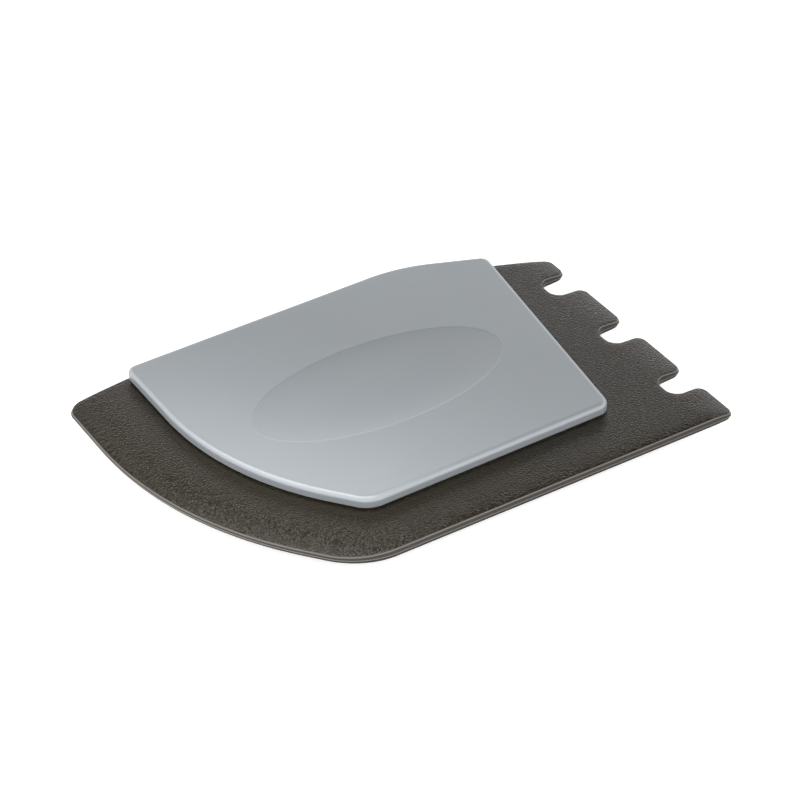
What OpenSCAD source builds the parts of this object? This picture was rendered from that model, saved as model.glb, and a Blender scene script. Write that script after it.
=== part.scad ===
// Pan scraper: a tapered blade with a toothed end, held between two moulded grip shells.
// Lengths are in millimetres and angles in degrees. X runs towards the teeth, Y away from
// the long near edge, and the lower grip rests on z = 0 with the outline centred over it.

/* [Blade] */
// Length over the curved end and the tooth tips
blade_length = 140; // [130:1:160]
// Width over the near edge and the back edge
blade_width = 95.6; // [92:0.2:104]
// Thickness under the grips and along the back edge
blade_t = 3; // [2.6:0.1:4]
// Thickness of the rim along the near edge
near_rim_t = 2.6; // [1.8:0.1:2.8]
// Thickness of the rim along the slanted side below the curved end
curve_rim_t = 1.9; // [1.4:0.1:2.4]
// Thickness of the rim along the left side
left_rim_t = 1.4; // [1.2:0.1:2.4]
// Thickness of the rim at the tooth tips
tip_rim_t = 1.7; // [1.4:0.1:2.4]
// Width of the tapered band along the near edge
near_taper = 8; // [6:0.5:14]
// Width of the tapered band round the curved end
curve_taper = 12; // [8:0.5:14]
// Width of the tapered band at the tooth tips
tip_taper = 10; // [9.5:0.5:14]
// Draft of the rim, above and below its middle line
rim_draft = 20; // [8:1:26]

/* [Curved end and back edge] */
// Height at which the two straight ends of the curve would meet the left side
curve_rise = 39.7; // [36:0.1:44]
// Distance from the left side to the near left corner
curve_run = 31.6; // [28:0.1:36]
// How far the near edge climbs from the teeth to the near left corner
near_climb = 1.7; // [0:0.1:3]
// Length of the left side, from the line of the near edge
left_side = 92.5; // [90:0.1:93]
// Distance from the left side to the left bend of the back edge
back_run = 21; // [20:0.5:26]
// How far the back edge falls from its right bend to its left bend
back_fall = 0.75; // [0:0.05:1.5]
// Distance from the tooth tips to the right bend of the back edge
bend_run = 39.5; // [36:0.5:44]
// Radius of the near left corner
near_left_r = 21; // [16:0.5:24]
// Radius of the near right corner
near_right_r = 2.3; // [1.5:0.1:4]
// Radius of the far tooth's outer corner
far_tooth_r = 2.9; // [1.5:0.1:4]
// Radius of the right bend of the back edge
bend_r = 47; // [30:1:60]
// Radius of the left bend of the back edge
back_left_r = 100; // [60:5:140]
// Radius of the far left corner
far_left_r = 4.6; // [2:0.1:8]

/* [Teeth] */
// Width of the notches that ride over the ribs of a grill pan
notch_w = 7.5; // [6.6:0.1:9]
// Depth of the notches
notch_depth = 9; // [8:0.1:9.4]
// Radius at the roots of the notches
notch_root_r = 2.9; // [1.5:0.1:3.1]
// Radius of the tooth corners at the notches
tooth_r = 2.7; // [1:0.1:3]
// Width of the near tooth
near_tooth_w = 13.6; // [12:0.1:16]
// Width of each middle tooth
mid_tooth_w = 18; // [15:0.1:19]
// Width of the far tooth at its tip
far_tooth_w = 7.7; // [6.5:0.1:10]

/* [Grip shells] */
// Height of each shell over the face of the blade
grip_h = 3.4; // [2.8:0.1:5]
// Radius of the shell's outer edge
grip_edge_r = 1.35; // [0.6:0.05:1.8]
// Thickness of the shell's outer wall
grip_wall = 1.8; // [1.4:0.1:2.6]
// Thickness of the shell's face
grip_face = 1.5; // [1.3:0.1:1.8]
// Depth of the shadow line where the shell meets the blade
reveal_depth = 0.7; // [0.3:0.1:0.8]
// Height of the shadow line
reveal_h = 0.45; // [0.3:0.05:0.6]
// Setback from the left side
left_gap = 18.2; // [16:0.1:22]
// Setback from the curved end
curve_gap = 17.6; // [16:0.1:21]
// Setback from the near edge at its left end
near_gap_left = 14.5; // [13:0.1:18]
// Setback from the near edge at its right end
near_gap_right = 16.1; // [14:0.1:20]
// Setback from the tooth tips at the near tooth
tooth_gap_near = 29.2; // [26:0.1:33]
// Setback from the tooth tips at the far tooth
tooth_gap_far = 17.6; // [15:0.1:22]
// Setback from the back edge
back_gap = 0.4; // [0.2:0.1:2]
// Radius of the shell's near left corner
grip_near_left_r = 8; // [5:0.5:10]
// Radius of the shell's near right corner
grip_near_right_r = 3.5; // [2.5:0.1:6]
// Radius of the shell's far right corner
grip_far_right_r = 2.8; // [2.2:0.1:6]
// Radius of the shell's far left corner
grip_far_left_r = 2.3; // [2:0.1:6]

/* [Oval recess] */
// Length of the recess
dish_length = 71.6; // [50:0.2:76]
// Width of the recess
dish_width = 32.6; // [20:0.2:40]
// Depth of the recess at its middle
dish_depth = 0.5; // [0.3:0.05:0.6]
// How far the recess lies left of the middle of the shell
dish_left = 1.9; // [0:0.1:4]
// How far the recess lies nearer than the middle of the shell
dish_near = 1.6; // [0:0.1:4]

/* [Posts and ribs] */
// Diameter of the posts that join the two shells
post_d = 3.2; // [2.4:0.1:4]
// Diametral clearance of a post in its socket
socket_clearance = 0.1; // [0.05:0.05:0.3]
// Diametral clearance of a post in the blade
blade_clearance = 0.4; // [0.2:0.1:1]
// Thickness of the wall round each socket
boss_wall = 1.7; // [1.2:0.1:2.4]
// How far a post reaches into its socket
post_reach = 1.5; // [1:0.1:1.8]
// Free depth left beyond the end of a post
socket_relief = 0.2; // [0.1:0.05:0.3]
// Distance of the posts from the two sides next to them
post_setback = 11; // [9:0.5:14]
// Thickness of the stiffening ribs
rib_t = 1; // [0.8:0.1:1.4]
// Distance from one rib to the next
rib_pitch = 15; // [12:0.5:20]
// Gap that the ribs leave over the blade
rib_gap = 0.3; // [0.2:0.05:0.5]

/* [Hidden] */

notch_count = 3;
blade_color = "#45413c";
grip_color = "#a3abb0";
overrun = 1;
chord_error = 0.02;
least_corner_r = 0.2;
// Share of the slanted side that the big end curve takes up
curve_share = 0.68;
// Steps of the taper across its band, as shares of the band
taper_shares = [0, 0.18, 0.38, 0.62, 1];
// Rings of the recess, as shares of its outline
dish_shares = [1, 0.85, 0.66, 0.44, 0.2];
dish_sides = 72;
edge_steps = 5;

half_l = blade_length / 2;
half_w = blade_width / 2;
half_t = blade_t / 2;
mid_z = grip_h + half_t;
tooth_row = near_tooth_w + far_tooth_w + notch_count * notch_w + (notch_count - 1) * mid_tooth_w;
post_hole_d = post_d + blade_clearance;
socket_d = post_d + socket_clearance;
boss_d = socket_d + 2 * boss_wall;
cavity_h = grip_h - grip_face;
socket_depth = post_reach + socket_relief;

// Corners of the blade without its notches, counter-clockwise
near_left = [-half_l + curve_run, -half_w + near_climb];
near_right = [half_l, -half_w];
tip_far = [half_l, -half_w + tooth_row];
back_bend = [half_l - bend_run, half_w];
back_left = [-half_l + back_run, half_w - back_fall];
far_left = [-half_l, -half_w + left_side];
curve_knee = [-half_l, -half_w + curve_rise];
body = [near_left, near_right, tip_far, back_bend, back_left, far_left, curve_knee];
slant = norm(near_left - curve_knee);
curve_turn = turn_at(far_left, curve_knee, near_left);
curve_r = curve_share * slant / tan(curve_turn / 2);
body_r = [near_left_r, near_right_r, far_tooth_r, bend_r, back_left_r, far_left_r, curve_r];

// Bands and drops of the taper along the sides that start at those corners
taper_w = [near_taper, tip_taper, 0, 0, 0, curve_taper, curve_taper];
taper_drop = [
    (blade_t - near_rim_t) / 2, (blade_t - tip_rim_t) / 2, 0, 0, 0,
    (blade_t - left_rim_t) / 2, (blade_t - curve_rim_t) / 2
];

// Corners and radii of the whole blade outline, notches included
notches = [for (i = [0:notch_count - 1]) each notch_corners(i)];
outline = concat([near_left, near_right], notches, [for (i = [2:len(body) - 1]) body[i]]);
notch_r = [for (i = [0:notch_count - 1]) each [tooth_r, notch_root_r, notch_root_r, tooth_r]];
outline_r = concat([near_left_r, near_right_r], notch_r, [for (i = [2:len(body) - 1]) body_r[i]]);

// Sides of the grip shells, set back from those of the blade
grip_sides = [
    set_back(near_left, near_right, near_gap_left, near_gap_right),
    set_back(near_right, tip_far, tooth_gap_near, tooth_gap_far),
    set_back(tip_far, back_bend, back_gap, back_gap),
    set_back(back_bend, back_left, back_gap, back_gap),
    set_back(far_left, curve_knee, left_gap, left_gap),
    set_back(curve_knee, near_left, curve_gap, curve_gap)
];
grip = [for (i = [0:5]) meet(grip_sides[(i + 5) % 6], grip_sides[i])];
grip_curve_r = curve_r - (left_gap + curve_gap) / 2;
grip_r = [
    grip_near_left_r, grip_near_right_r, grip_far_right_r,
    bend_r - back_gap, grip_far_left_r, grip_curve_r
];
grip_min = [min([for (p = grip) p.x]), min([for (p = grip) p.y])];
grip_max = [max([for (p = grip) p.x]), max([for (p = grip) p.y])];
dish_centre = (grip_min + grip_max) / 2 - [dish_left, dish_near];

// Posts stand inside the four corners of the shells that have room for them
post_ring = moved_in(grip, [for (p = grip) post_setback]);
post_places = [for (i = [0, 1, 2, 4]) post_ring[i]];

function unit(v) = v / norm(v);
function turned(v, a) = [v.x * cos(a) - v.y * sin(a), v.x * sin(a) + v.y * cos(a)];
function turn_at(a, p, b) = acos(unit(p - a) * unit(b - p));

// Side from a to b moved to its left by m at a and by n at b
function set_back(a, b, m, n) =
    let (side_in = turned(unit(b - a), 90))
    [a + side_in * m, b + side_in * n];

// Crossing of two lines, each given by two points
function meet(p, q) =
    let (u = p[1] - p[0], v = q[1] - q[0])
    p[0] + u * cross(q[0] - p[0], v) / cross(u, v);

// Corners of an outline whose sides move in by the distances of the list m
function moved_in(c, m) =
    let (n = len(c), s = [for (i = [0:n - 1]) set_back(c[i], c[(i + 1) % n], m[i], m[i])])
    [for (i = [0:n - 1]) meet(s[(i + n - 1) % n], s[i])];

// Number of chords in a rounding of radius r that turns by the angle a
function chords(r, a) = max(2, ceil(a / (2 * acos(1 - chord_error / r))));

// Points of the rounding at corner p, between its neighbours a and b
function rounding(a, p, b, r, n) =
    let (
        turn = turn_at(a, p, b),
        way = sign(cross(p - a, b - p)),
        start = p - unit(p - a) * r * tan(turn / 2),
        centre = start + turned(unit(p - a), 90 * way) * r
    )
    [for (k = [0:n]) centre + turned(start - centre, way * turn * k / n)];

// Points of an outline with corners c and radii r after its sides move in by the list m
function rounded(c, r, m) =
    let (n = len(c), moved = moved_in(c, m))
    [for (i = [0:n - 1])
        let (
            before = (i + n - 1) % n,
            after = (i + 1) % n,
            way = sign(cross(c[i] - c[before], c[after] - c[i])),
            shift = (m[before] + m[i]) / 2,
            count = chords(r[i], turn_at(c[before], c[i], c[after])),
            radius = max(r[i] - way * shift, least_corner_r)
        )
        each rounding(moved[before], moved[i], moved[after], radius, count)];

function even(n, value) = [for (i = [1:n]) value];
function middle(ring) = even(len(ring), 1 / len(ring)) * ring;
function at_height(points, z) = [for (p = points) [p.x, p.y, z]];

function notch_corners(i) =
    let (
        start = -half_w + near_tooth_w + i * (notch_w + mid_tooth_w),
        end = start + notch_w,
        root = half_l - notch_depth
    )
    [[half_l, start], [root, start], [root, end], [half_l, end]];

// Drop of the taper at each point of a ring of the body, blended round the corners
function drops() =
    let (n = len(body))
    [for (i = [0:n - 1])
        let (
            before = (i + n - 1) % n,
            count = chords(body_r[i], turn_at(body[before], body[i], body[(i + 1) % n]))
        )
        for (k = [0:count]) taper_drop[before] + (taper_drop[i] - taper_drop[before]) * k / count];

// Ring of the tapered body, moved in by a share t of each band, on the face up or -up
function taper_ring(t, out, up) =
    let (
        shifts = [for (w = taper_w) w > 0 ? t * w - out : -overrun],
        points = rounded(body, body_r, shifts),
        fall = drops()
    )
    [for (i = [0:len(points) - 1])
        [points[i].x, points[i].y, up * (half_t - fall[i] * (1 - t) * (1 - t))]];

// Solid through a stack of rings with the same number of points, from the lowest up, closed
// by a point set at the height of the end rings or, with a peak, that far beyond them
module skin(rings, peak = 0) {
    n = len(rings[0]);
    top = len(rings) - 1;
    foot = (top + 1) * n;
    head = foot + 1;
    walls = [for (k = [0:top - 1], i = [0:n - 1])
        let (a = k * n + i, b = k * n + (i + 1) % n)
        each [[a, a + n, b + n], [a, b + n, b]]];
    floor_faces = [for (i = [0:n - 1]) [foot, i, (i + 1) % n]];
    roof_faces = [for (i = [0:n - 1]) [head, top * n + (i + 1) % n, top * n + i]];
    ends = [middle(rings[0]) - [0, 0, peak], middle(rings[top]) + [0, 0, peak]];
    polyhedron(
        points = concat([for (r = rings) each r], ends),
        faces = concat(floor_faces, walls, roof_faces)
    );
}

// Outline with its notches and a rim that leans in from the middle line to both faces
module drafted_outline() {
    reach = half_t + overrun;
    lean = even(len(outline), reach * tan(rim_draft));
    narrow = rounded(outline, outline_r, lean);
    wide = rounded(outline, outline_r, even(len(outline), 0));
    skin([at_height(narrow, -reach), at_height(wide, 0), at_height(narrow, reach)], overrun);
}

// Body whose faces fall away towards the near edge, the curved end and the tooth tips
module tapered_body() {
    last = len(taper_shares) - 1;
    lower = [for (k = [last:-1:0]) taper_ring(taper_shares[k], 0, -1)];
    upper = [for (t = taper_shares) taper_ring(t, 0, 1)];
    skin(concat(lower, [taper_ring(0, overrun, -1), taper_ring(0, overrun, 1)], upper));
}

module blade() {
    color(blade_color)
        translate([0, 0, mid_z])
            difference() {
                intersection() {
                    tapered_body();
                    drafted_outline();
                }
                for (p = post_places)
                    translate([p.x, p.y, -half_t - overrun])
                        cylinder(d = post_hole_d, h = blade_t + 2 * overrun, $fn = 48);
            }
}

// Outside of a shell, its base on z = 0, with a shadow line below and a rounded edge above
module shell_form() {
    n = len(grip);
    foot = rounded(grip, grip_r, even(n, reveal_depth));
    full = rounded(grip, grip_r, even(n, 0));
    edge = [for (k = [1:edge_steps])
        let (
            a = 90 * k / edge_steps,
            ring = rounded(grip, grip_r, even(n, grip_edge_r * (1 - cos(a))))
        )
        at_height(ring, grip_h - grip_edge_r * (1 - sin(a)))];
    skin(concat(
        [at_height(foot, 0), at_height(foot, reveal_h), at_height(full, reveal_h)],
        [at_height(full, grip_h - grip_edge_r)], edge));
}

// Shallow bowl with an oval edge, cut into the face of the upper shell
module dish() {
    function oval(s, z) = [for (i = [0:dish_sides - 1])
        let (a = 360 * i / dish_sides)
        [s * cos(a) * dish_length / 2, s * sin(a) * dish_width / 2, z]];
    bowl = [for (k = [len(dish_shares) - 1:-1:0])
        oval(dish_shares[k], grip_h - dish_depth * (1 - dish_shares[k] * dish_shares[k]))];
    translate([dish_centre.x, dish_centre.y, 0])
        skin(concat(bowl, [oval(1, grip_h + overrun)]));
}

module rib_lines() {
    across = ceil((grip_max.x - grip_min.x) / (2 * rib_pitch));
    along = ceil((grip_max.y - grip_min.y) / (2 * rib_pitch));
    middle = (grip_min + grip_max) / 2;
    size = grip_max - grip_min;
    for (i = [-across:across])
        translate([middle.x + i * rib_pitch, middle.y])
            square([rib_t, size.y], center = true);
    for (i = [-along:along])
        translate([middle.x, middle.y + i * rib_pitch])
            square([size.x, rib_t], center = true);
}

module bosses(d) {
    for (p = post_places)
        translate(p)
            circle(d = d, $fn = 48);
}

// Hollow of a shell, open at the blade, with the bosses left standing in it
module hollow() {
    translate([0, 0, -overrun])
        linear_extrude(overrun + cavity_h)
            difference() {
                polygon(rounded(grip, grip_r, even(len(grip), grip_wall)));
                bosses(boss_d);
            }
}

// Ribs across the hollow, rooted half way into the walls, the face and the bosses
module ribs() {
    translate([0, 0, rib_gap])
        linear_extrude(cavity_h - rib_gap + grip_face / 4)
            difference() {
                intersection() {
                    polygon(rounded(grip, grip_r, even(len(grip), grip_wall / 2)));
                    rib_lines();
                }
                bosses(boss_d - boss_wall);
            }
}

module upper_grip() {
    color(grip_color)
        translate([0, 0, mid_z + half_t]) {
            difference() {
                shell_form();
                dish();
                hollow();
                for (p = post_places)
                    translate([p.x, p.y, -overrun])
                        cylinder(d = socket_d, h = overrun + socket_depth, $fn = 48);
            }
            ribs();
        }
}

module lower_grip() {
    color(grip_color) {
        translate([0, 0, grip_h])
            mirror([0, 0, 1]) {
                difference() {
                    shell_form();
                    hollow();
                }
                ribs();
            }
        for (p = post_places)
            translate([p.x, p.y, grip_face])
                cylinder(d = post_d, h = cavity_h + blade_t + post_reach, $fn = 48);
    }
}

blade();
upper_grip();
lower_grip();
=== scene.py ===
import math

import bpy
import numpy as np
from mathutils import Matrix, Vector
from mathutils.geometry import delaunay_2d_cdt


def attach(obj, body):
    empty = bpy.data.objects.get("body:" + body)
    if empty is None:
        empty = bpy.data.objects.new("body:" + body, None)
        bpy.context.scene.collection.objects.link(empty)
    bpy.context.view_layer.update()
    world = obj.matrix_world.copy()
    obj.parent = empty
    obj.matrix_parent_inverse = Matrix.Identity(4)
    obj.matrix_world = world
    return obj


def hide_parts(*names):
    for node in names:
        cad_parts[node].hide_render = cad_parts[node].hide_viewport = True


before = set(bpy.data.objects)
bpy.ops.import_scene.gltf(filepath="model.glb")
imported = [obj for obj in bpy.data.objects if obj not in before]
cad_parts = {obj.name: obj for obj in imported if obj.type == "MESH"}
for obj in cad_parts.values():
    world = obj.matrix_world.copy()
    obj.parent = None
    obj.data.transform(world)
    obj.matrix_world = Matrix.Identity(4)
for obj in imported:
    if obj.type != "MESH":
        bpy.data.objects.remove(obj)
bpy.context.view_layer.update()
scene = bpy.context.scene
mm = 0.001

# The camera stands where a fit to the outline in the photograph puts it.
cameraLook = {
    "place": (-0.26628, -0.41641, 0.39128),  # metres, in the part's frame
    "target": (0.00345, 0.00374, 0.0040),
    "lens": 112.5,
    "sensor": 36.0,
    "clip": (0.01, 20.0),
}


def addCamera(look):
    data = bpy.data.cameras.new("camera")
    data.lens = look["lens"]
    data.sensor_width = look["sensor"]
    data.clip_start, data.clip_end = look["clip"]
    cam = bpy.data.objects.new("camera", data)
    scene.collection.objects.link(cam)
    cam.location = look["place"]
    aim = Vector(look["target"]) - Vector(look["place"])
    cam.rotation_euler = aim.to_track_quat("-Z", "Y").to_euler()
    scene.camera = cam


addCamera(cameraLook)
scene.view_settings.view_transform = "Standard"
print("camera set")


def unit(v):
    return v / np.linalg.norm(v)


def leftOf(v):
    return np.array([-v[1], v[0]])


def crossOf(u, v):
    return u[0] * v[1] - u[1] * v[0]


# The side from a to b, moved to its left by m at a and by n at b
def setBack(a, b, m, n):
    side = leftOf(unit(b - a))
    return a + side * m, b + side * n


def meet(p, q):
    u, v = p[1] - p[0], q[1] - q[0]
    return p[0] + u * crossOf(q[0] - p[0], v) / crossOf(u, v)


# Points and outward normals round a rounded outline, corners given counter-clockwise. Each corner
# takes a fewest number of steps, however small it is.
def sampleOutline(corners, radii, arcStep, sideStep, fewest=3):
    corners = [np.array(c, float) for c in corners]
    count = len(corners)
    starts, arcs = [], []
    for i, p in enumerate(corners):
        a, b = corners[i - 1], corners[(i + 1) % count]
        u, v = unit(p - a), unit(b - p)
        turn = math.acos(float(np.clip(u @ v, -1, 1)))
        way = 1 if crossOf(u, v) > 0 else -1
        r = radii[i]
        start = p - u * r * math.tan(turn / 2)
        centre = start + leftOf(u) * way * r
        steps = max(fewest, math.ceil(r * turn / arcStep))
        points, normals = [], []
        for k in range(steps + 1):
            t = way * turn * k / steps
            c, s = math.cos(t), math.sin(t)
            d = start - centre
            points.append(centre + np.array([d[0] * c - d[1] * s, d[0] * s + d[1] * c]))
            normals.append(unit(points[-1] - centre) * way)
        arcs.append((points, normals))
    points, normals = [], []
    for i in range(count):
        points += arcs[i][0]
        normals += arcs[i][1]
        a, b = arcs[i][0][-1], arcs[(i + 1) % count][0][0]
        length = np.linalg.norm(b - a)
        steps = max(1, math.ceil(length / sideStep))
        for k in range(1, steps):
            points.append(a + (b - a) * k / steps)
            normals.append(-leftOf(unit(b - a)))
    points, normals = np.array(points), np.array(normals)
    touching = 1e-4  # mm, points closer than this are one
    apart = np.linalg.norm(points - np.roll(points, -1, 0), axis=1) > touching
    return points[apart], normals[apart]


# Which points lie inside a closed loop
def inside(points, loop):
    x, y = points[:, 0][:, None], points[:, 1][:, None]
    ax, ay = loop[:, 0], loop[:, 1]
    bx, by = np.roll(ax, -1), np.roll(ay, -1)
    tiny = 1e-12  # keeps a level side from dividing by zero
    crosses = ((ay > y) != (by > y)) & (x < (bx - ax) * (y - ay) / (by - ay + tiny) + ax)
    return crosses.sum(1) % 2 == 1


# Distance from each point to the nearest point of a loop, some of the loop at a time to spare memory
def nearest(points, loop, share=400):
    far = np.full(len(points), np.inf)
    for k in range(0, len(loop), share):
        part = loop[k:k + share]
        d = np.linalg.norm(points[:, None, :] - part[None, :, :], axis=2).min(1)
        far = np.minimum(far, d)
    return far


# Points of a triangular grid between two corners, step apart
def honeycomb(low, high, step):
    rows = []
    y, odd = low[1], 0
    while y <= high[1]:
        xs = np.arange(low[0] + odd * step / 2, high[0], step)
        rows.append(np.stack([xs, np.full(len(xs), y)], 1))
        y += step * math.sqrt(3) / 2
        odd = 1 - odd
    return np.concatenate(rows)


# Triangles inside the first ring, through every ring's points and the extra points. The last
# result gives the new number of each point, because points that coincide are joined.
def fillRegion(rings, extra):
    points = np.concatenate([*rings, extra]) if len(extra) else np.concatenate(rings)
    edges, base = [], 0
    for ring in rings:
        n = len(ring)
        edges += [(base + k, base + (k + 1) % n) for k in range(n)]
        base += n
    insideOnly, slack = 1, 1e-6
    found = delaunay_2d_cdt([Vector(p) for p in points], edges, [], insideOnly, slack)
    flat, faces = np.array([[v.x, v.y] for v in found[0]]), [list(f) for f in found[2]]
    first = [None] * len(points)
    for k, olds in enumerate(found[3]):
        for old in olds:
            first[old] = k
    return flat, faces, first


# Collects rings and faces in millimetres, then makes one mesh of them in metres
class Shell:
    def __init__(self):
        self.points, self.faces, self.finish = [], [], []

    def add(self, points):
        base = sum(len(p) for p in self.points)
        self.points.append(np.asarray(points, float))
        return list(range(base, base + len(points)))

    def face(self, corners, finish=0):
        self.faces.append(corners)
        self.finish.append(finish)

    def band(self, low, high, finish=0):
        n = len(low)
        for k in range(n):
            j = (k + 1) % n
            self.face([low[k], low[j], high[j], high[k]], finish)

    def build(self, name, materials):
        mesh = bpy.data.meshes.new(name)
        mesh.from_pydata((np.concatenate(self.points) * mm).tolist(), [], self.faces)
        for m in materials:
            mesh.materials.append(m)
        mesh.polygons.foreach_set("material_index", self.finish)
        mesh.polygons.foreach_set("use_smooth", [True] * len(self.faces))
        mesh.validate()
        mesh.update()
        piece = bpy.data.objects.new(name, mesh)
        scene.collection.objects.link(piece)
        return piece


# An sRGB hex value as an opaque linear colour
def hexColour(text):
    parts = [int(text[k:k + 2], 16) / 255 for k in (1, 3, 5)]
    return [p / 12.92 if p <= 0.04045 else ((p + 0.055) / 1.055) ** 2.4 for p in parts] + [1.0]


# Adds one node: settings are its properties, sockets its fixed inputs, links its joined inputs
def addNode(tree, kind, settings=None, links=None, **sockets):
    node = tree.nodes.new(kind)
    for key, value in (settings or {}).items():
        setattr(node, key, value)
    for key, value in sockets.items():
        node.inputs[key.replace("_", " ")].default_value = value
    for key, source in (links or {}).items():
        tree.links.new(source, node.inputs[key])
    return node


def newMaterial(name):
    material = bpy.data.materials.new(name)
    material.use_nodes = True
    tree = material.node_tree
    tree.nodes.clear()
    out = addNode(tree, "ShaderNodeOutputMaterial")
    return material, tree, out


# Texture scale for features that are size millimetres across
def perMetre(size):
    return 1000.0 / size


# Glass-filled nylon, injection moulded against a spark-eroded face. The erosion leaves fine pebbles
# that catch the light one by one. Paler spots of colour among them are painted glints, added to that
# sparkle.
grainedNylon = {
    "colour": "#1b160c",  # carbon pigment, a warm near-black
    # the colour of the painted glints
    "glintPaint": "#292213",
    "pebble": 0.43,  # mm across one pebble, and one painted glint
    "pebbleHeight": 0.138,  # mm, higher than such a grain usually is, so that it shows
    "glintPaintRange": (0.5, 0.66),  # the noise below and above which there is no painted glint and all painted glint
    "mottle": 0.6,  # mm across one patch of duller or shinier skin
    "mottleSoftness": 0.35,
    "mottleRange": (0.1, 0.7),
    "roughness": (0.19, 0.25),
    "ior": 1.47,
}


def makeGrainedNylon(look):
    material, tree, out = newMaterial("glass-filled nylon, spark-eroded grain")
    where = addNode(tree, "ShaderNodeTexCoord").outputs["Object"]
    pebbles = addNode(tree, "ShaderNodeTexNoise", None, {"Vector": where},
                      Scale=perMetre(look["pebble"]), Detail=0.0)
    mottle = addNode(tree, "ShaderNodeTexVoronoi", {"feature": "SMOOTH_F1"}, {"Vector": where},
                     Scale=perMetre(look["mottle"]), Smoothness=look["mottleSoftness"])
    bump = addNode(tree, "ShaderNodeBump", None, {"Height": pebbles.outputs["Fac"]},
                   Strength=1.0, Distance=look["pebbleHeight"] * mm)
    # Paler colour where the pebble noise is high: painted glints.
    paintedGlints = addNode(tree, "ShaderNodeMapRange", None, {"Value": pebbles.outputs["Fac"]},
                     From_Min=look["glintPaintRange"][0], From_Max=look["glintPaintRange"][1])
    tint = addNode(tree, "ShaderNodeMix", {"data_type": "RGBA"}, {"Factor": paintedGlints.outputs[0]})
    tint.inputs[6].default_value = hexColour(look["colour"])
    tint.inputs[7].default_value = hexColour(look["glintPaint"])
    gloss = addNode(tree, "ShaderNodeMapRange", None, {"Value": mottle.outputs["Distance"]},
                    From_Min=look["mottleRange"][0], From_Max=look["mottleRange"][1],
                    To_Min=look["roughness"][0], To_Max=look["roughness"][1])
    shader = addNode(tree, "ShaderNodeBsdfPrincipled", None,
                     {"Base Color": tint.outputs[2], "Normal": bump.outputs["Normal"],
                      "Roughness": gloss.outputs[0]}, IOR=look["ior"])
    tree.links.new(shader.outputs["BSDF"], out.inputs["Surface"])
    return material


# The same nylon against steel that was only ground, on the upper half of the rim. It is smoother, so
# that it shows broad soft highlights instead of the grain's glints.
smoothNylon = {
    "colour": "#2a2622",
    "grain": 0.5,  # mm across one fine scratch
    "grainHeight": 0.016,
    "roughness": 0.45,
    "ior": 1.4,
}


def makeSmoothNylon(name, look):
    material, tree, out = newMaterial(name)
    where = addNode(tree, "ShaderNodeTexCoord").outputs["Object"]
    scratch = addNode(tree, "ShaderNodeTexNoise", None, {"Vector": where},
                      Scale=perMetre(look["grain"]), Detail=3.0, Roughness=0.6)
    bump = addNode(tree, "ShaderNodeBump", None, {"Height": scratch.outputs["Fac"]},
                   Strength=1.0, Distance=look["grainHeight"] * mm)
    shader = addNode(tree, "ShaderNodeBsdfPrincipled", None, {"Normal": bump.outputs["Normal"]},
                     Base_Color=hexColour(look["colour"]), Roughness=look["roughness"], IOR=look["ior"])
    tree.links.new(shader.outputs["BSDF"], out.inputs["Surface"])
    return material


# The upper arris and the ridge along the parting line are painted pale: a painted highlight along these
# edges
highlightPaintedNylon = dict(smoothNylon, colour="#645f59", roughness=0.34)

# The lower half of the rim, moulded against the other half of the mould, which was blasted rougher. Its
# darker colour is painted shade, for the shadowed floor that this half faces
shadePaintedNylon = dict(smoothNylon, colour="#0e0d0b", roughness=0.62, ior=1.36)

# Coloured nylon with a little metal flake, moulded against a fine blasted face. It gives an even
# satin, with soft highlights along the edges and no grain that the eye picks out.
satinNylon = {
    "colour": "#969b9f",
    "paler": "#9a9fa3",
    "grain": 0.35,  # mm across one grain of the blasted face
    "grainHeight": 0.0048,
    "cloud": 14.0,  # mm across one patch of the paler tone
    "roughness": 0.36,
    "flake": 0.3,  # share of metal flake pigment
    "ior": 1.5,
}

# The recess is painted a shade darker than the rest of the top, as painted shade in the hollow
recessShadePaintedNylon = dict(satinNylon, colour="#93989c", paler="#979ca0")


def makeSatinNylon(name, look):
    material, tree, out = newMaterial(name)
    where = addNode(tree, "ShaderNodeTexCoord").outputs["Object"]
    grain = addNode(tree, "ShaderNodeTexNoise", None, {"Vector": where},
                    Scale=perMetre(look["grain"]), Detail=2.0, Roughness=0.5)
    bump = addNode(tree, "ShaderNodeBump", None, {"Height": grain.outputs["Fac"]},
                   Strength=1.0, Distance=look["grainHeight"] * mm)
    cloud = addNode(tree, "ShaderNodeTexNoise", None, {"Vector": where},
                    Scale=perMetre(look["cloud"]), Detail=2.0, Roughness=0.5)
    tint = addNode(tree, "ShaderNodeMix", {"data_type": "RGBA"}, {"Factor": cloud.outputs["Fac"]})
    tint.inputs[6].default_value = hexColour(look["colour"])
    tint.inputs[7].default_value = hexColour(look["paler"])
    shader = addNode(tree, "ShaderNodeBsdfPrincipled", None,
                     {"Base Color": tint.outputs[2], "Normal": bump.outputs["Normal"]},
                     Roughness=look["roughness"], IOR=look["ior"], Metallic=look["flake"])
    tree.links.new(shader.outputs["BSDF"], out.inputs["Surface"])
    return material


grainedFinish = makeGrainedNylon(grainedNylon)
edgeFinish = makeSmoothNylon("moulded nylon, ground edge", smoothNylon)
# The pale edge finish carries a painted highlight.
highlightPaintedFinish = makeSmoothNylon("moulded nylon, edge with painted highlight", highlightPaintedNylon)
# The dark edge finish carries painted shade.
shadePaintedFinish = makeSmoothNylon("moulded nylon, edge with painted shade", shadePaintedNylon)
satinFinish = makeSatinNylon("moulded nylon, satin", satinNylon)
# The recess finish carries painted shade.
recessShadePaintedFinish = makeSatinNylon("moulded nylon, recess with painted shade", recessShadePaintedNylon)
for node, finish in (("blade", grainedFinish), ("upper_grip", satinFinish), ("lower_grip", satinFinish)):
    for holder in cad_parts[node].material_slots:
        holder.material = finish
print("materials made")

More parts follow.
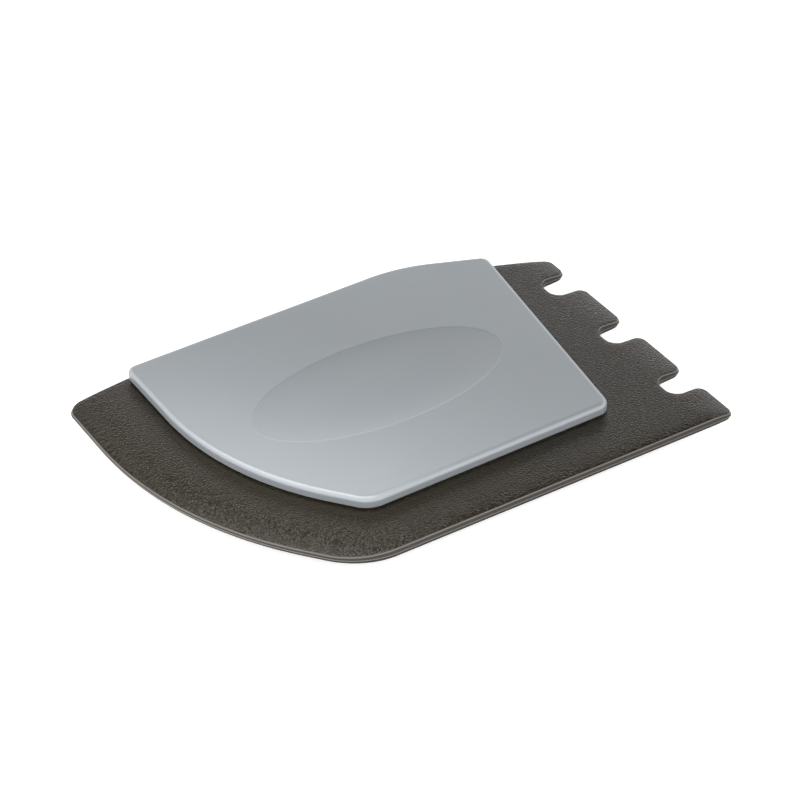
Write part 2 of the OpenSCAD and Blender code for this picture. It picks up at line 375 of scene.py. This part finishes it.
# The blade's sizes in millimetres. Most are those of the solids. The draft of the rim, the arris, the
# bead along the parting line, the dip at the rim and the steps of the mesh are the scene's own.
blade = {
    "length": 140.0,
    "width": 95.6,
    "thickness": 3.0,
    "nearRim": 2.6,
    "curveRim": 1.9,
    "leftRim": 1.4,
    "tipRim": 1.7,
    "nearTaper": 8.0,
    "curveTaper": 12.0,
    "tipTaper": 10.0,
    "draft": 16.0,  # degrees, from the parting ridge to each face, where the solids have 20
    "arris": 0.32,  # radius where the rim meets a face
    "ridge": 0.13,  # half height of the bead along the parting line
    "ridgeReach": 0.18,  # how far the bead stands proud of the rim
    "rimDip": 0.05,  # how much more the face sinks in the last half millimetre
    "rimDipRun": 0.45,
    "rimProbe": 0.6,  # how far in the height of the face is read for the rim
    "mostFall": 1.2,  # where a taper stops falling: 1 is on the outline, and more lies outside it
    "fallPower": 4,  # how sharply the larger of two tapers wins where they cross
    "curveRise": 39.7,
    "curveRun": 31.6,
    "nearClimb": 1.7,
    "leftSide": 92.5,
    "backRun": 21.0,
    "backFall": 0.75,
    "bendRun": 39.5,
    "nearLeftRadius": 21.0,
    "nearRightRadius": 2.3,
    "farToothRadius": 2.9,
    "bendRadius": 47.0,
    "backLeftRadius": 100.0,
    "farLeftRadius": 4.6,
    "curveShare": 0.68,  # how much of the slanted side the big curve takes up
    "notchWidth": 7.5,
    "notchDepth": 9.0,
    "notchRoot": 2.9,
    "toothCorner": 2.7,
    "nearTooth": 13.6,
    "midTooth": 18.0,
    "farTooth": 7.7,
    "arcStep": 0.25,  # the steps of the mesh: along arcs, along sides and across the faces
    "sideStep": 0.6,
    "faceStep": 1.3,
    "faceClear": 0.7,
}
halfLength, halfWidth = blade["length"] / 2, blade["width"] / 2
halfBlade = blade["thickness"] / 2
gripHeight = 3.4
midHeight = gripHeight + halfBlade


def bladeCorners(b):
    tipRow = b["nearTooth"] + b["farTooth"] + 3 * b["notchWidth"] + 2 * b["midTooth"]
    nearLeft = (-halfLength + b["curveRun"], -halfWidth + b["nearClimb"])
    nearRight = (halfLength, -halfWidth)
    tipFar = (halfLength, -halfWidth + tipRow)
    backBend = (halfLength - b["bendRun"], halfWidth)
    backLeft = (-halfLength + b["backRun"], halfWidth - b["backFall"])
    farLeft = (-halfLength, -halfWidth + b["leftSide"])
    knee = (-halfLength, -halfWidth + b["curveRise"])
    return [np.array(c) for c in (nearLeft, nearRight, tipFar, backBend, backLeft, farLeft, knee)]


bodyCorners = bladeCorners(blade)
nearLeft, nearRight, tipFar, backBend, backLeft, farLeft, knee = bodyCorners
slantTurn = math.acos(float(unit(knee - farLeft) @ unit(nearLeft - knee)))
curveRadius = blade["curveShare"] * np.linalg.norm(nearLeft - knee) / math.tan(slantTurn / 2)


def notchCorners(i):
    b = blade
    start = -halfWidth + b["nearTooth"] + i * (b["notchWidth"] + b["midTooth"])
    end = start + b["notchWidth"]
    root = halfLength - b["notchDepth"]
    return [(halfLength, start), (root, start), (root, end), (halfLength, end)]


def lineDistance(points, a, b):
    return (points - a) @ leftOf(unit(b - a))


# Distance in from the left side, the big curve and the slanted side below it
def curveDistance(points):
    tangent = curveRadius * math.tan(slantTurn / 2)
    centre = knee + np.array([0, tangent]) + np.array([curveRadius, 0])
    left = lineDistance(points, farLeft, knee)
    slant = lineDistance(points, knee, nearLeft)
    away = points - centre
    turn = np.arctan2(-away[:, 1], -away[:, 0]) / slantTurn  # 0 where the curve starts, 1 where it ends
    arc = curveRadius - np.linalg.norm(away, axis=1)
    distance = np.where((turn > 0) & (turn < 1), arc, np.minimum(left, slant))
    return distance, np.clip(turn, 0, 1)


# How far a face of the blade falls away from its full height at each point
def bladeFall(points):
    b = blade
    curveIn, turn = curveDistance(points)
    curveRim = b["leftRim"] + (b["curveRim"] - b["leftRim"]) * turn
    rows = (
        (lineDistance(points, nearLeft, nearRight), b["nearTaper"], (b["thickness"] - b["nearRim"]) / 2),
        (halfLength - points[:, 0], b["tipTaper"], (b["thickness"] - b["tipRim"]) / 2),
        (curveIn, b["curveTaper"], (b["thickness"] - curveRim) / 2),
    )
    total = np.zeros(len(points))
    for distance, width, drop in rows:
        share = np.clip(1 - distance / width, 0, b["mostFall"])
        total += (drop * share ** 2) ** b["fallPower"]
    return total ** (1 / b["fallPower"])


def makeBlade():
    b = blade
    notches = [c for i in range(3) for c in notchCorners(i)]
    corners = [nearLeft, nearRight, *notches, tipFar, backBend, backLeft, farLeft, knee]
    notchRadii = [b["toothCorner"], b["notchRoot"], b["notchRoot"], b["toothCorner"]] * 3
    radii = [b["nearLeftRadius"], b["nearRightRadius"], *notchRadii, b["farToothRadius"],
             b["bendRadius"], b["backLeftRadius"], b["farLeftRadius"], curveRadius]
    line, normals = sampleOutline(corners, radii, b["arcStep"], b["sideStep"])
    lean = math.radians(b["draft"])
    slope = math.tan(lean)
    settled = halfBlade - bladeFall(line - normals * b["rimProbe"]) - b["rimDip"]  # the face at the rim

    def ring(inset, height):
        return np.column_stack([line - normals * inset[:, None], height])

    # Insets and heights of the upper half of the rim, from the parting ridge to the face
    def rimRings():
        bead, reach = b["ridge"], b["ridgeReach"]
        beadShares = ((0.0, 0.0), (0.13, 0.45), (0.5, 0.8), (1.0, 1.0))
        wallShares = (0.08, 0.5, 0.92, 1.0)
        arrisSteps = 5
        rings = [(np.full(len(line), reach * x), np.full(len(line), bead * y)) for x, y in beadShares]
        wallTop = settled - b["arris"]
        for share in wallShares:
            z = bead + (wallTop - bead) * share
            rings.append((reach + (z - bead) * slope, z))
        base = reach + (wallTop - bead) * slope
        for k in range(1, arrisSteps + 1):
            t = lean + (math.pi / 2 - lean) * k / arrisSteps
            rings.append((base + b["arris"] * (math.cos(lean) - math.cos(t)),
                          wallTop + b["arris"] * (math.sin(t) - math.sin(lean)) / (1 - math.sin(lean))))
        return rings

    rings = rimRings()
    lastInset = rings[-1][0]
    edge = line - normals * lastInset[:, None]
    support = line - normals * (lastInset + b["rimDipRun"])[:, None]
    grid = honeycomb(edge.min(0), edge.max(0), b["faceStep"])
    grid = grid[inside(grid, support)]
    grid = grid[nearest(grid, support) > b["faceClear"]]
    flat, faces, first = fillRegion([edge, support], grid)
    height = halfBlade - bladeFall(flat)
    height[[first[k] for k in range(len(edge))]] = rings[-1][1]
    grained, ground, paintedHighlight, paintedShade = range(4)
    # The bead and the top of the wall with its arris take the pale finish: a painted highlight.
    upperBands = [paintedHighlight] * 3 + [ground] * 3 + [paintedHighlight] * 4 + [ground] * 2  # from the ridge to the face
    shell = Shell()
    ridgeRow = shell.add(ring(rings[0][0], rings[0][1] + midHeight))
    for up in (1, -1):
        # The whole lower half of the rim takes the dark finish: painted shade.
        bands = upperBands if up > 0 else [paintedShade] * len(upperBands)
        row = ridgeRow
        for finish, (inset, z) in zip(bands, rings[1:-1]):
            upper = shell.add(ring(inset, midHeight + up * z))
            shell.band(*((row, upper) if up > 0 else (upper, row)), finish)
            row = upper
        top = shell.add(np.column_stack([flat, midHeight + up * height]))
        rim = [top[first[k]] for k in range(len(edge))]
        shell.band(*((row, rim) if up > 0 else (rim, row)), bands[-1])
        for f in faces:
            shell.face([top[k] for k in (f if up > 0 else f[::-1])], grained)
    return shell.build("bladePlate", [grainedFinish, edgeFinish, highlightPaintedFinish, shadePaintedFinish])


bladePlate = makeBlade()
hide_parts("blade")
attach(bladePlate, "root")
print("blade made")

# The grip's sizes in millimetres. Each gap is the distance in from a side of the blade. Most are those
# of the solids. The height of the shadow line, the small radii at its edges, the depth of the recess
# with its step, and the steps of the mesh are the scene's own.
grip = {
    "height": gripHeight,
    "edge": 1.35,  # radius of the outer edge
    "revealDepth": 0.7,  # the groove that makes the shadow line
    "revealHeight": 0.58,
    "revealCrease": 0.05,
    "lip": 0.08,  # radius of the lower edge over the shadow line
    "footIn": 1.5,  # how far the foot reaches in behind the shadow line
    "leftGap": 18.2,
    "curveGap": 17.6,
    "nearGapLeft": 14.5,
    "nearGapRight": 16.1,
    "toothGapNear": 29.2,
    "toothGapFar": 17.6,
    "backGap": 0.4,
    "radii": (8.0, 3.5, 2.8, 46.6, 2.3),  # the fourth is the blade's bend radius less the back gap
    "dishLength": 71.6,
    "dishWidth": 32.6,
    "dishDepth": 0.27,
    "dishLeft": 1.9,
    "dishNear": 1.6,
    "dishStep": 0.032,  # the crisp step round the recess
    "dishRings": (0.55, 0.3, 0.1, -0.05, -0.25, -0.6),  # rings of the mesh along the recess's outline
    "dishPoints": 240,
    "dishInner": (-1.5, 160),  # the ring that joins them to the grid, and its points
    "arcStep": 0.25,
    "sideStep": 0.8,
    "faceStep": 1.6,
    "faceClear": 0.9,
    "edgeSteps": 12,
    "edgeIn": 0.4,
}


def gripCorners(g):
    sides = [
        setBack(nearLeft, nearRight, g["nearGapLeft"], g["nearGapRight"]),
        setBack(nearRight, tipFar, g["toothGapNear"], g["toothGapFar"]),
        setBack(tipFar, backBend, g["backGap"], g["backGap"]),
        setBack(backBend, backLeft, g["backGap"], g["backGap"]),
        setBack(farLeft, knee, g["leftGap"], g["leftGap"]),
        setBack(knee, nearLeft, g["curveGap"], g["curveGap"]),
    ]
    return [meet(sides[i - 1], sides[i]) for i in range(6)]


gripShape = gripCorners(grip)
gripMiddle = (np.min(gripShape, 0) + np.max(gripShape, 0)) / 2
dishCentre = gripMiddle - np.array([grip["dishLeft"], grip["dishNear"]])


# A ring at an even distance outside the recess's outline, or inside it when grow is negative
def ovalRing(grow, count):
    a, b = grip["dishLength"] / 2, grip["dishWidth"] / 2
    t = np.linspace(0, 2 * math.pi, count, endpoint=False)
    points = np.stack([a * np.cos(t), b * np.sin(t)], 1)
    normals = np.stack([np.cos(t) / a, np.sin(t) / b], 1)
    normals /= np.linalg.norm(normals, axis=1)[:, None]
    return points + normals * grow + dishCentre


def dishHeight(points):
    a, b = grip["dishLength"] / 2, grip["dishWidth"] / 2
    reach = (((points - dishCentre) / np.array([a, b])) ** 2).sum(1)  # 1 on the outline
    return np.where(reach < 1, -grip["dishStep"] - grip["dishDepth"] * (1 - reach ** 2), 0.0)


# One shell: base is the height of its foot on the blade, up is 1 above the blade and -1 below
def makeGrip(name, base, up, dished):
    g = grip
    radii = [*g["radii"], curveRadius - (g["leftGap"] + g["curveGap"]) / 2]
    line, normals = sampleOutline(gripShape, radii, g["arcStep"], g["sideStep"])

    def ring(inset, z):
        return np.column_stack([line - normals * inset, np.full(len(line), base + up * z)])

    deep, high, crease, lip = g["revealDepth"], g["revealHeight"], g["revealCrease"], g["lip"]
    lipShare, wallShares = 0.3, (0.08, 0.5, 0.92)
    profile = [(deep + g["footIn"], 0.0), (deep, 0.0), (deep, crease), (deep, high - crease),
               (deep, high), (deep - crease, high), (lip, high),
               (lip * lipShare, high + lip * lipShare), (0.0, high + lip)]
    wallTop = g["height"] - g["edge"]
    for share in wallShares:
        profile.append((0.0, high + lip + (wallTop - high - lip) * share))
    for k in range(g["edgeSteps"] + 1):
        t = math.pi / 2 * k / g["edgeSteps"]
        profile.append((g["edge"] * (1 - math.cos(t)), wallTop + g["edge"] * math.sin(t)))
    shell = Shell()
    rows = [shell.add(ring(inset, z)) for inset, z in profile]
    for row, nextRow in zip(rows[:-2], rows[1:-1]):
        shell.band(*((row, nextRow) if up > 0 else (nextRow, row)))
    edge = line - normals * profile[-1][0]
    support = line - normals * (profile[-1][0] + g["edgeIn"])
    rings = [edge, support]
    if dished:
        rings += [ovalRing(grow, g["dishPoints"]) for grow in g["dishRings"]]
        rings += [ovalRing(*g["dishInner"])]
    grid = honeycomb(edge.min(0), edge.max(0), g["faceStep"])
    grid = grid[inside(grid, support)]
    keep = nearest(grid, np.concatenate(rings[1:])) > g["faceClear"]
    flat, faces, first = fillRegion(rings, grid[keep])
    height = np.full(len(flat), g["height"])
    if dished:
        height += dishHeight(flat)
    top = shell.add(np.column_stack([flat, base + up * height]))
    rim = [top[first[k]] for k in range(len(edge))]
    shell.band(*((rows[-2], rim) if up > 0 else (rim, rows[-2])))
    middles = np.array([flat[f].mean(0) for f in faces])
    # Faces inside the recess take the darker finish: painted shade in the hollow.
    sunk = inside(middles, ovalRing(0.0, g["dishPoints"])) if dished else np.zeros(len(faces), bool)
    for f, low in zip(faces, sunk):
        shell.face([top[k] for k in (f if up > 0 else f[::-1])], int(low))
    shell.face(rows[0][::-1] if up > 0 else rows[0])
    return shell.build(name, [satinFinish, recessShadePaintedFinish] if dished else [satinFinish])


upperShell = makeGrip("upperShell", midHeight + halfBlade, 1, True)
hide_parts("upper_grip")
lowerShell = makeGrip("lowerShell", midHeight - halfBlade, -1, False)
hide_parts("lower_grip")
for shellPiece in (upperShell, lowerShell):
    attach(shellPiece, "root")
print("grip shells made")

studio = {
    "floorColour": "#e6e6e6",
    "floorPaler": "#eaeaea",
    "floorCloud": 0.25,  # metres across one patch of the paler tone
    "floorSize": 3.0,  # metres from the middle to each side
    "floorSteps": 24,
    "floorDrop": 0.02,  # mm below the foot of the part, so that the two faces don't coincide
    "floorLift": 0.65,  # how much paler the floor looks to the camera and in reflections
    "skyLean": (0.12, 0.19, 1.0),  # the bright walls of the tent reach higher in front than behind
    "skyBands": (  # height along skyLean, strength
        (0.0, 2.1), (0.28, 2.1), (0.34, 1.55), (0.715, 1.62), (0.812, 0.12), (1.0, 0.03),
    ),
    "lamps": (
        # name, place, aim, width, height, power in watts
        ("nearLeft", (-0.09, -0.019, 0.129), (-0.2, -0.137, 0.0), 0.17, 0.17, 0.31),
    ),
}


# A pale seamless sweep: a flat floor with a gentle ripple of tone. The lift brings it close to white, so
# that only a trace of the shadow is left. The photograph is cut out on white and has none.
def makeFloor(look):
    material, tree, out = newMaterial("painted sweep, matt white")
    where = addNode(tree, "ShaderNodeTexCoord").outputs["Object"]
    cloud = addNode(tree, "ShaderNodeTexNoise", None, {"Vector": where},
                    Scale=1 / look["floorCloud"], Detail=2.0)
    tint = addNode(tree, "ShaderNodeMix", {"data_type": "RGBA"}, {"Factor": cloud.outputs["Fac"]})
    tint.inputs[6].default_value = hexColour(look["floorColour"])
    tint.inputs[7].default_value = hexColour(look["floorPaler"])
    diffuse = addNode(tree, "ShaderNodeBsdfDiffuse", None, {"Color": tint.outputs[2]})
    lift = addNode(tree, "ShaderNodeEmission", Color=(1, 1, 1, 1), Strength=look["floorLift"])
    both = addNode(tree, "ShaderNodeAddShader", None, {0: diffuse.outputs[0], 1: lift.outputs[0]})
    path = addNode(tree, "ShaderNodeLightPath")
    seen = addNode(tree, "ShaderNodeMath", {"operation": "MAXIMUM"},
                   {0: path.outputs["Is Camera Ray"], 1: path.outputs["Is Transmission Ray"]})
    seen = addNode(tree, "ShaderNodeMath", {"operation": "MAXIMUM"},
                   {0: seen.outputs[0], 1: path.outputs["Is Glossy Ray"]})
    mix = addNode(tree, "ShaderNodeMixShader", None,
                  {0: seen.outputs[0], 1: diffuse.outputs[0], 2: both.outputs[0]})
    tree.links.new(mix.outputs[0], out.inputs["Surface"])
    size, steps = look["floorSize"], look["floorSteps"]
    xs = np.linspace(-size, size, steps + 1)
    points = [(x, y, -look["floorDrop"] * mm) for y in xs for x in xs]
    faces = [[r * (steps + 1) + c, r * (steps + 1) + c + 1, (r + 1) * (steps + 1) + c + 1,
              (r + 1) * (steps + 1) + c] for r in range(steps) for c in range(steps)]
    mesh = bpy.data.meshes.new("floor")
    mesh.from_pydata(points, [], faces)
    mesh.materials.append(material)
    floor = bpy.data.objects.new("floor", mesh)
    scene.collection.objects.link(floor)


def makeWorld(look):
    world = bpy.data.worlds.new("studio")
    scene.world = world
    world.use_nodes = True
    tree = world.node_tree
    tree.nodes.clear()
    out = addNode(tree, "ShaderNodeOutputWorld")
    way = addNode(tree, "ShaderNodeTexCoord").outputs["Generated"]
    lean = addNode(tree, "ShaderNodeVectorMath", {"operation": "DOT_PRODUCT"}, {0: way})
    lean.inputs[1].default_value = look["skyLean"]
    bands = addNode(tree, "ShaderNodeValToRGB", None, {0: lean.outputs["Value"]})
    stops = bands.color_ramp.elements
    while len(stops) < len(look["skyBands"]):
        stops.new(0.5)
    for stop, (place, strength) in zip(stops, look["skyBands"]):
        stop.position = place
        stop.color = (strength, strength, strength, 1)
    glow = addNode(tree, "ShaderNodeBackground", None, {"Color": bands.outputs["Color"]}, Strength=1.0)
    tree.links.new(glow.outputs[0], out.inputs["Surface"])


def addLamp(name, place, aim, width, height, power):
    data = bpy.data.lights.new(name, "AREA")
    data.shape = "RECTANGLE"
    data.size, data.size_y = width, height
    data.energy = power
    lamp = bpy.data.objects.new(name, data)
    scene.collection.objects.link(lamp)
    lamp.location = place
    lamp.rotation_euler = (Vector(aim) - Vector(place)).to_track_quat("-Z", "Y").to_euler()


makeFloor(studio)
makeWorld(studio)
for lamp in studio["lamps"]:
    addLamp(*lamp)
print("studio made")
